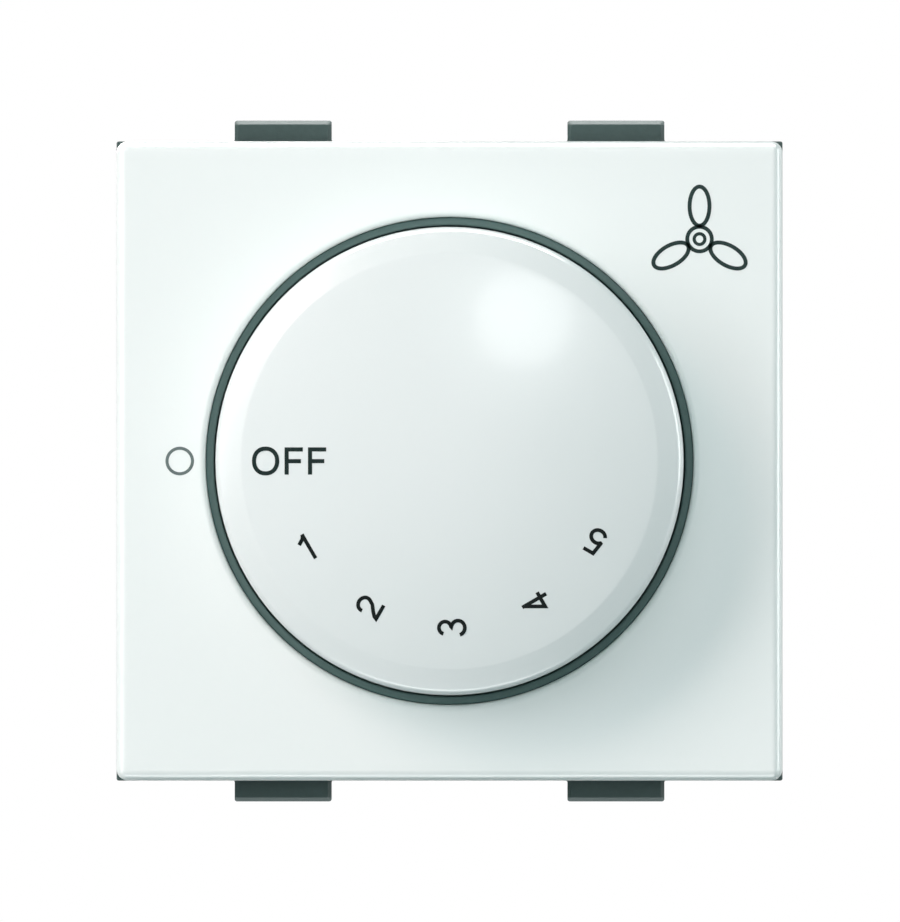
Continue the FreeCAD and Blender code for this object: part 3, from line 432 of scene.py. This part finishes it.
edge_width = 0.12
same_point = 0.002
sharp_angle = 50
carrier = nodes["carrier_frame"]
carrier.modifiers.new("weld", "WELD").merge_threshold = same_point / MM_PER_METRE
soft_edges = carrier.modifiers.new("soft_edges", "BEVEL")
soft_edges.width = edge_width / MM_PER_METRE
soft_edges.segments = 2
soft_edges.limit_method = "ANGLE"
soft_edges.angle_limit = math.radians(sharp_angle)


# Cover plate: rounded square shell with a soft edge, the knob's hole and four rear clips

def square_loop(half_x, half_z, corner, depth):
    """Points round a square with rounded corners, at one depth."""
    steps = 8
    points = []
    for start, x, z in ((0, 1, 1), (90, -1, 1), (180, -1, -1), (270, 1, -1)):
        centre = ((half_x - corner) * x, (half_z - corner) * z)
        for across, up in arc(centre, (corner, corner), start, start + 90, steps):
            points.append(point(across, depth, up))
    return points


def round_loop(radius, depth):
    """Points round a circle, at one depth."""
    return [point(x, depth, z) for x, z in arc((0, 0), (radius, radius), 0, 360, ROUND_STEPS)[:-1]]


def skin(mesh_data, loops):
    """Joins loops of equal point counts by strips and returns their rows of corners."""
    rows = [[mesh_data.verts.new(place) for place in loop] for loop in loops]
    for first, second in zip(rows, rows[1:]):
        for i in range(len(first)):
            j = (i + 1) % len(first)
            mesh_data.faces.new((first[i], first[j], second[j], second[i]))
    return rows


def flat_between(mesh_data, outer, inner):
    """Fills the flat field between an outer and an inner row of corners."""
    edges = []
    for row in (outer, inner):
        for i in range(len(row)):
            edges.append(mesh_data.edges.get((row[i - 1], row[i])))
    bmesh.ops.triangle_fill(mesh_data, edges=edges, use_beauty=True)


def prism(mesh_data, outline, low_x, high_x):
    """A bar along X with a (depth, height) outline."""
    ends = [[mesh_data.verts.new(point(x, y, z)) for y, z in outline] for x in (low_x, high_x)]
    mesh_data.faces.new(ends[0])
    mesh_data.faces.new(ends[1][::-1])
    for i in range(len(outline)):
        j = (i + 1) % len(outline)
        mesh_data.faces.new((ends[0][i], ends[0][j], ends[1][j], ends[1][i]))


plate_growth = 0.04
half_x, half_z = plate_high[0] + plate_growth, plate_high[2] + plate_growth
plate_rear = -3.4
plate_inside = -5.0
side_wall = 1.3
inner_corner = 0.2
edge_round = 0.7
edge_steps = 12
outer_corner = edge_round + 0.05
face_corner = 0.03
face_border = 0.06
hole_radius = knob_radius + 0.71
hole_round = 0.45
hole_steps = 8

mesh_data = bmesh.new()
loops = []
for depth in (plate_inside, plate_rear):
    loops.append(square_loop(half_x - side_wall, half_z - side_wall, inner_corner, depth))
loops.append(square_loop(half_x, half_z, outer_corner, plate_rear))
for i in range(edge_steps + 1):
    turn = math.radians(90 * i / edge_steps)
    inset = edge_round * (1 - math.cos(turn))
    depth = plate_face + edge_round * (1 - math.sin(turn))
    loops.append(square_loop(half_x - inset, half_z - inset, outer_corner - inset, depth))
inset = edge_round + face_border
loops.append(square_loop(half_x - inset, half_z - inset, face_corner, plate_face))
outer_rows = skin(mesh_data, loops)

loops = [round_loop(hole_radius + hole_round + face_border, plate_face)]
round_centre = (plate_face + hole_round, hole_radius + hole_round)
for depth, radius in arc(round_centre, (hole_round, hole_round), 180, 270, hole_steps):
    loops.append(round_loop(radius, depth))
loops.append(round_loop(hole_radius, plate_inside))
hole_rows = skin(mesh_data, loops)
flat_between(mesh_data, outer_rows[-1], hole_rows[0])
flat_between(mesh_data, outer_rows[0], hole_rows[-1])

CLIP = ((-5.9, 18.1), (-5.9, 19.1), (-1.25, 19.1), (-1.25, 19.55), (0.05, 18.6), (0.05, 18.1))
clip_middles = (-15.0, 15.0)
clip_half = 1.5
for middle in clip_middles:
    for side in (-1, 1):
        outline = [(depth, height * side) for depth, height in CLIP]
        prism(mesh_data, outline, middle - clip_half, middle + clip_half)
plate = piece_from("plate_cap", mesh_data, "insert", white_plastic, 40)
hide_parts("cover_plate")


# Knob: a smooth dome with a soft rim, hollow behind, with its boss and ribs

# Widths of the steeper band round the dome, and how far each part leans in degrees
RIM_BAND = ((0.05, 16), (0.05, 19), (0.05, 21), (0.05, 22.5), (0.4, 23), (0.4, 23.5), (0.4, 24))
dome_steps = 40
rim_steps = 14
ceiling = knob_front + 2.8
skirt_inside = knob_radius - 1.6
skirt_chamfer = 0.15
inner_chamfer = 0.1
ceiling_chamfer = 0.4
boss_radius = 5.3
boss_rear = -6.8
bore_radius = 3.05
bore_flat = 1.55
rib_count = 6
rib_start = 4.9
rib_end = knob_radius - 1.5
rib_half = 0.5
rib_height = 3.8
overlap = 0.2


def knob_profile():
    """Half profile: dome, steeper band, rounded edge, skirt and the hollow underside."""
    profile = []
    for i in range(dome_steps + 1):
        radius = dome_edge * i / dome_steps
        profile.append((radius, dome_depth(radius)))
    radius, depth = profile[-1]
    for width, slope in RIM_BAND:
        radius += width
        depth += width * math.tan(math.radians(slope))
        profile.append((radius, depth))
    rim_round = (knob_radius - radius) / (1 - math.sin(math.radians(slope)))
    centre = (knob_radius - rim_round, depth + rim_round * math.cos(math.radians(slope)))
    profile += arc(centre, (rim_round, rim_round), slope - 90, 0, rim_steps)[1:]
    profile += [
        (knob_radius, knob_rear - skirt_chamfer),
        (knob_radius - skirt_chamfer, knob_rear),
        (skirt_inside + inner_chamfer, knob_rear),
        (skirt_inside, knob_rear - inner_chamfer),
        (skirt_inside, ceiling + ceiling_chamfer),
        (skirt_inside - ceiling_chamfer, ceiling),
        (0, ceiling),
    ]
    return profile


def flatted_circle(radius, flat):
    """A round outline with a flat above the axis, or without one where the flat is the radius."""
    steps = 64
    points = []
    for i in range(steps):
        turn = math.tau * i / steps
        points.append((radius * math.cos(turn), min(radius * math.sin(turn), flat)))
    return points


def tube_between(mesh_data, outer, inner, front, rear):
    """A closed ring between an outer and an inner outline of equal point counts."""
    count = len(outer)
    rows = []
    for outline, depth in ((outer, front), (outer, rear), (inner, rear), (inner, front)):
        rows.append([mesh_data.verts.new(point(x, depth, z)) for x, z in outline])
    for first, second in zip(rows, rows[1:] + rows[:1]):
        for i in range(count):
            j = (i + 1) % count
            mesh_data.faces.new((first[i], first[j], second[j], second[i]))


def slab(mesh_data, low, high, turn):
    """A straight bar between two corners, turned about the knob's axis."""
    spin = Matrix.Rotation(turn, 4, "Y")
    corners = []
    for x in (low[0], high[0]):
        for y in (low[1], high[1]):
            for z in (low[2], high[2]):
                corners.append(mesh_data.verts.new(spin @ point(x, y, z)))
    sides = ((0, 1, 3, 2), (4, 6, 7, 5), (0, 4, 5, 1), (2, 3, 7, 6), (0, 2, 6, 4), (1, 5, 7, 3))
    for face in sides:
        mesh_data.faces.new([corners[i] for i in face])


mesh_data = bmesh.new()
lathe(mesh_data, knob_profile())
boss = flatted_circle(boss_radius, boss_radius)
bore = flatted_circle(bore_radius, bore_flat)
tube_between(mesh_data, boss, bore, ceiling - overlap, boss_rear)
rib_low = (rib_start, ceiling - overlap, -rib_half)
rib_high = (rib_end, ceiling + rib_height, rib_half)
for i in range(rib_count):
    slab(mesh_data, rib_low, rib_high, math.tau * i / rib_count)
knob = piece_from("knob_cap", mesh_data, "dial", knob_plastic, 50)
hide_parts("knob")


# Print on the knob: OFF and the five speeds, each upright when it points at the index

# Letters and digits are drawn in parts of their own height. Places are (across, up) from the axis,
# and angles are in degrees.
WORD_HEIGHT = 1.83
WORD_STROKE = 0.28
WORD_PLACE = (-10.78, 0.0)
O_OFFSET = -1.37
F_OFFSETS = (-0.17, 0.69)
NUMBER_HEIGHT = 1.86
NUMBER_STROKE = 0.255
NUMBER_RADIUS = 11.2
STEP_ANGLE = 30
NUMBER_SHIFT = 1.2


def letter_o():
    """An oval that is a little squarer than an ellipse."""
    half_width, half_height, squareness = 0.425, 0.455, 0.92
    steps = 72
    points = []
    for i in range(steps):
        turn = math.tau * i / steps
        across, up = math.cos(turn), math.sin(turn)
        points.append((
            0.5 + half_width * math.copysign(abs(across) ** squareness, across),
            0.5 + half_height * math.copysign(abs(up) ** squareness, up),
        ))
    return points


LETTER_F = (
    [(0.075, 0.0), (0.075, 1.0)],
    [(0.0, 0.925), (0.67, 0.925)],
    [(0.075, 0.495), (0.6, 0.495)],
)
DIGITS = {
    "1": ([(0.07, 0.0), (0.07, 1.0)], [(0.07, 0.95), (0.0, 0.84), (-0.21, 0.71)]),
    "2": (
        arc((0.0, 0.7), (0.25, 0.225), 190, -30, 24)
        + [(0.13, 0.45), (-0.08, 0.29), (-0.21, 0.17), (-0.25, 0.075), (0.31, 0.075)],
    ),
    "3": (
        arc((-0.01, 0.79), (0.225, 0.22), 165, -80, 24)
        + arc((-0.01, 0.32), (0.26, 0.245), 84, -165, 28),
    ),
    "4": ([(0.33, 0.26), (-0.26, 0.26), (0.12, 0.92)], [(0.12, 0.0), (0.12, 1.0)]),
    "5": (
        [(0.26, 0.925), (-0.14, 0.925), (-0.205, 0.485)]
        + arc((0.0, 0.31), (0.26, 0.235), 135, -160, 28),
    ),
}


def turned(centre, x, z, turn):
    """A point of an outline that is turned about its own middle and moved to its place."""
    return (
        centre[0] + x * math.cos(turn) - z * math.sin(turn),
        centre[1] + x * math.sin(turn) + z * math.cos(turn),
    )


def write(mesh_data, paths, centre, turn, height, stroke, offset=0.0, closed=False):
    """Lays a sign's strokes on the dome, turned about its own middle."""
    for path in paths:
        placed = [turned(centre, (x + offset) * height, (z - 0.5) * height, turn) for x, z in path]
        ribbon(mesh_data, placed, stroke, on_dome, closed)


mesh_data = bmesh.new()
write(mesh_data, [letter_o()], WORD_PLACE, 0, WORD_HEIGHT, WORD_STROKE, O_OFFSET, closed=True)
for offset in F_OFFSETS:
    write(mesh_data, LETTER_F, WORD_PLACE, 0, WORD_HEIGHT, WORD_STROKE, offset)
word = piece_from("dial_word", mesh_data, "dial", word_ink)

mesh_data = bmesh.new()
for number, paths in DIGITS.items():
    turn = math.radians(STEP_ANGLE * int(number))
    place = turn + math.radians(NUMBER_SHIFT)
    centre = (-NUMBER_RADIUS * math.cos(place), -NUMBER_RADIUS * math.sin(place))
    write(mesh_data, paths, centre, turn, NUMBER_HEIGHT, NUMBER_STROKE)
numbers = piece_from("dial_numbers", mesh_data, "dial", number_ink)


# Print on the plate: the index ring and the fan sign

def printed_ring(mesh_data, centre, radius, stroke, steps):
    """A round line of ink on the plate."""
    ribbon(mesh_data, arc(centre, (radius, radius), 0, 360, steps)[:-1], stroke, on_plate, True)


index_place = (-18.2, 0)
mesh_data = bmesh.new()
printed_ring(mesh_data, index_place, 0.86, 0.21, 64)
index_ring = piece_from("index_ring", mesh_data, "insert", grey_ink)

hub = (16.86, 14.97)
blade_reach = 2.22
blade_radii = (1.32, 0.67)
blade_stroke = 0.27
mesh_data = bmesh.new()
printed_ring(mesh_data, hub, 0.83, 0.26, 48)
printed_ring(mesh_data, hub, 0.36, 0.22, 32)
for blade in range(3):
    turn = math.radians(90 + 120 * blade)
    middle = turned(hub, blade_reach, 0, turn)
    outline = [turned(middle, x, z, turn) for x, z in arc((0, 0), blade_radii, 0, 360, 56)[:-1]]
    ribbon(mesh_data, outline, blade_stroke, on_plate, True)
fan_sign = piece_from("fan_sign", mesh_data, "insert", sign_ink)


# Camera: level, straight in front, with a long lens; its scale holds where plate and carrier meet

camera_distance = 2.0
camera_shift = 0.00003
nearest_seen = 0.05
picture_pixels = 900
pixels_per_mm = 14.8
picture_width = picture_pixels / pixels_per_mm / MM_PER_METRE

camera_data = bpy.data.cameras.new("camera")
camera = bpy.data.objects.new("camera", camera_data)
bpy.context.scene.collection.objects.link(camera)
camera.location = (camera_shift, -camera_distance, 0.0)
camera.rotation_euler = (math.radians(90), 0, 0)
camera_data.sensor_fit = "HORIZONTAL"
camera_data.sensor_width = 36
subject_distance = camera_distance + plate_rear / MM_PER_METRE
camera_data.lens = camera_data.sensor_width * subject_distance / picture_width
camera_data.clip_start = nearest_seen
bpy.context.scene.camera = camera


# Light: soft keys from the left, large front lamps, fills for the rear and the right side, and
# lamps that only show as reflections

def lamp(name, direction, distance, size, watts, tint=(1, 1, 1), seen_by="both"):
    """A soft lamp that faces the knob: the direction and distance are from the knob's centre.

    The size is its diameter, or its width and height. It lights everything, only the colour of
    surfaces, or only their sheen.
    """
    data = bpy.data.lights.new(name, "AREA")
    if isinstance(size, tuple):
        data.shape = "RECTANGLE"
        data.size, data.size_y = size
    else:
        data.shape = "DISK"
        data.size = size
    data.energy = watts
    data.color = tint
    item = bpy.data.objects.new(name, data)
    bpy.context.scene.collection.objects.link(item)
    way = Vector(direction).normalized()
    item.location = way * distance
    item.rotation_euler = (-way).to_track_quat("-Z", "Y").to_euler()
    item.visible_diffuse = seen_by != "sheen"
    item.visible_glossy = seen_by != "colour"


lamp("key", (-0.8, -0.5, 0.33), 0.7, 0.3, 1.49, (1.0, 0.93, 0.91))
lamp("key_low", (-0.86, -0.5, 0.05), 0.7, 0.3, 0.75, (1.0, 0.95, 0.98))
lamp("key_high", (-0.6, -0.55, 0.58), 0.7, 0.3, 1.66, (1.0, 0.72, 0.69))
lamp("front", (-0.15, -0.95, 0.3), 0.8, 0.5, 1.1, (1.0, 0.9, 0.95), seen_by="colour")
lamp("axis", (0.0, -1.0, 0.0), 0.8, 0.3, 0.94, (1.0, 0.93, 0.955), seen_by="colour")
lamp("rear", (-0.3, 0.9, 0.35), 0.8, 0.5, 4.2, (1.0, 0.86, 0.86))
lamp("side", (0.9, 0.4, 0.15), 0.8, 0.4, 2.0, (1.0, 0.78, 0.76), seen_by="colour")
lamp("highlight", (0.163, -0.935, 0.315), 1.0, 0.22, 0.85, seen_by="sheen")
lamp("right_card", (0.965, -0.26, 0.0), 0.6, (0.28, 0.6), 4.6, seen_by="sheen")
lamp("edge_card", (0.93, 0.37, 0.0), 0.5, (0.1, 0.5), 0.5, seen_by="sheen")
lamp("low_card", (0.0, -0.4, -0.916), 0.6, (0.6, 0.16), 5.0, seen_by="sheen")
lamp("top_card", (0.0, -0.1, 0.99), 0.5, (0.5, 0.2), 10.0, seen_by="sheen")


# Surroundings: plain white to look at, and a soft light that is stronger from above

soft_colour = (0.76, 1.0, 1.0, 1)
light_below = 0.23
light_above = 0.58

world = bpy.data.worlds.new("studio")
bpy.context.scene.world = world
sky = Graph(world)
sky.tree.nodes.clear()
direction = sky.node("ShaderNodeTexCoord", output="Generated")
upward = sky.node("ShaderNodeSeparateXYZ", None, {"Vector": direction}, "Z")
span = {"From Min": -1.0, "From Max": 1.0, "To Min": light_below, "To Max": light_above}
strength = sky.node("ShaderNodeMapRange", None, {"Value": upward, **span})
soft = sky.node("ShaderNodeBackground", None, {"Color": soft_colour, "Strength": strength})
white = sky.node("ShaderNodeBackground", None, {"Color": (1, 1, 1, 1), "Strength": 1.0})
seen = sky.node("ShaderNodeLightPath", output="Is Camera Ray")
for ray in ("Is Glossy Ray", "Is Transmission Ray"):
    seen = seen.larger(sky.node("ShaderNodeLightPath", output=ray))
choice = sky.node("ShaderNodeMixShader", None, {0: seen, 1: soft, 2: white})
world_output = sky.tree.nodes.new("ShaderNodeOutputWorld")
sky.tree.links.new(choice.socket, world_output.inputs["Surface"])


# Floor: a pale disc that fades out into the white round it

floor_radius = 0.8
floor_height = -0.045
fade_starts, fade_ends = 0.15, 0.75
floor_colour = (0.92, 0.9, 0.895, 1)

mesh_data = bmesh.new()
bmesh.ops.create_circle(mesh_data, cap_ends=True, segments=96, radius=floor_radius)
mesh = bpy.data.meshes.new("floor")
mesh_data.to_mesh(mesh)
mesh_data.free()
floor = bpy.data.objects.new("floor", mesh)
floor.location = (0, 0, floor_height)
bpy.context.scene.collection.objects.link(floor)
pale = Finish("pale_floor", Roughness=0.8, Base_Color=floor_colour)
pale.drive("Alpha", 1 - pale.away((1, 1, 1)).between(fade_starts, fade_ends))
mesh.materials.append(pale.material)
floor.visible_diffuse = False
floor.visible_shadow = False

bpy.context.scene.view_settings.view_transform = "Standard"
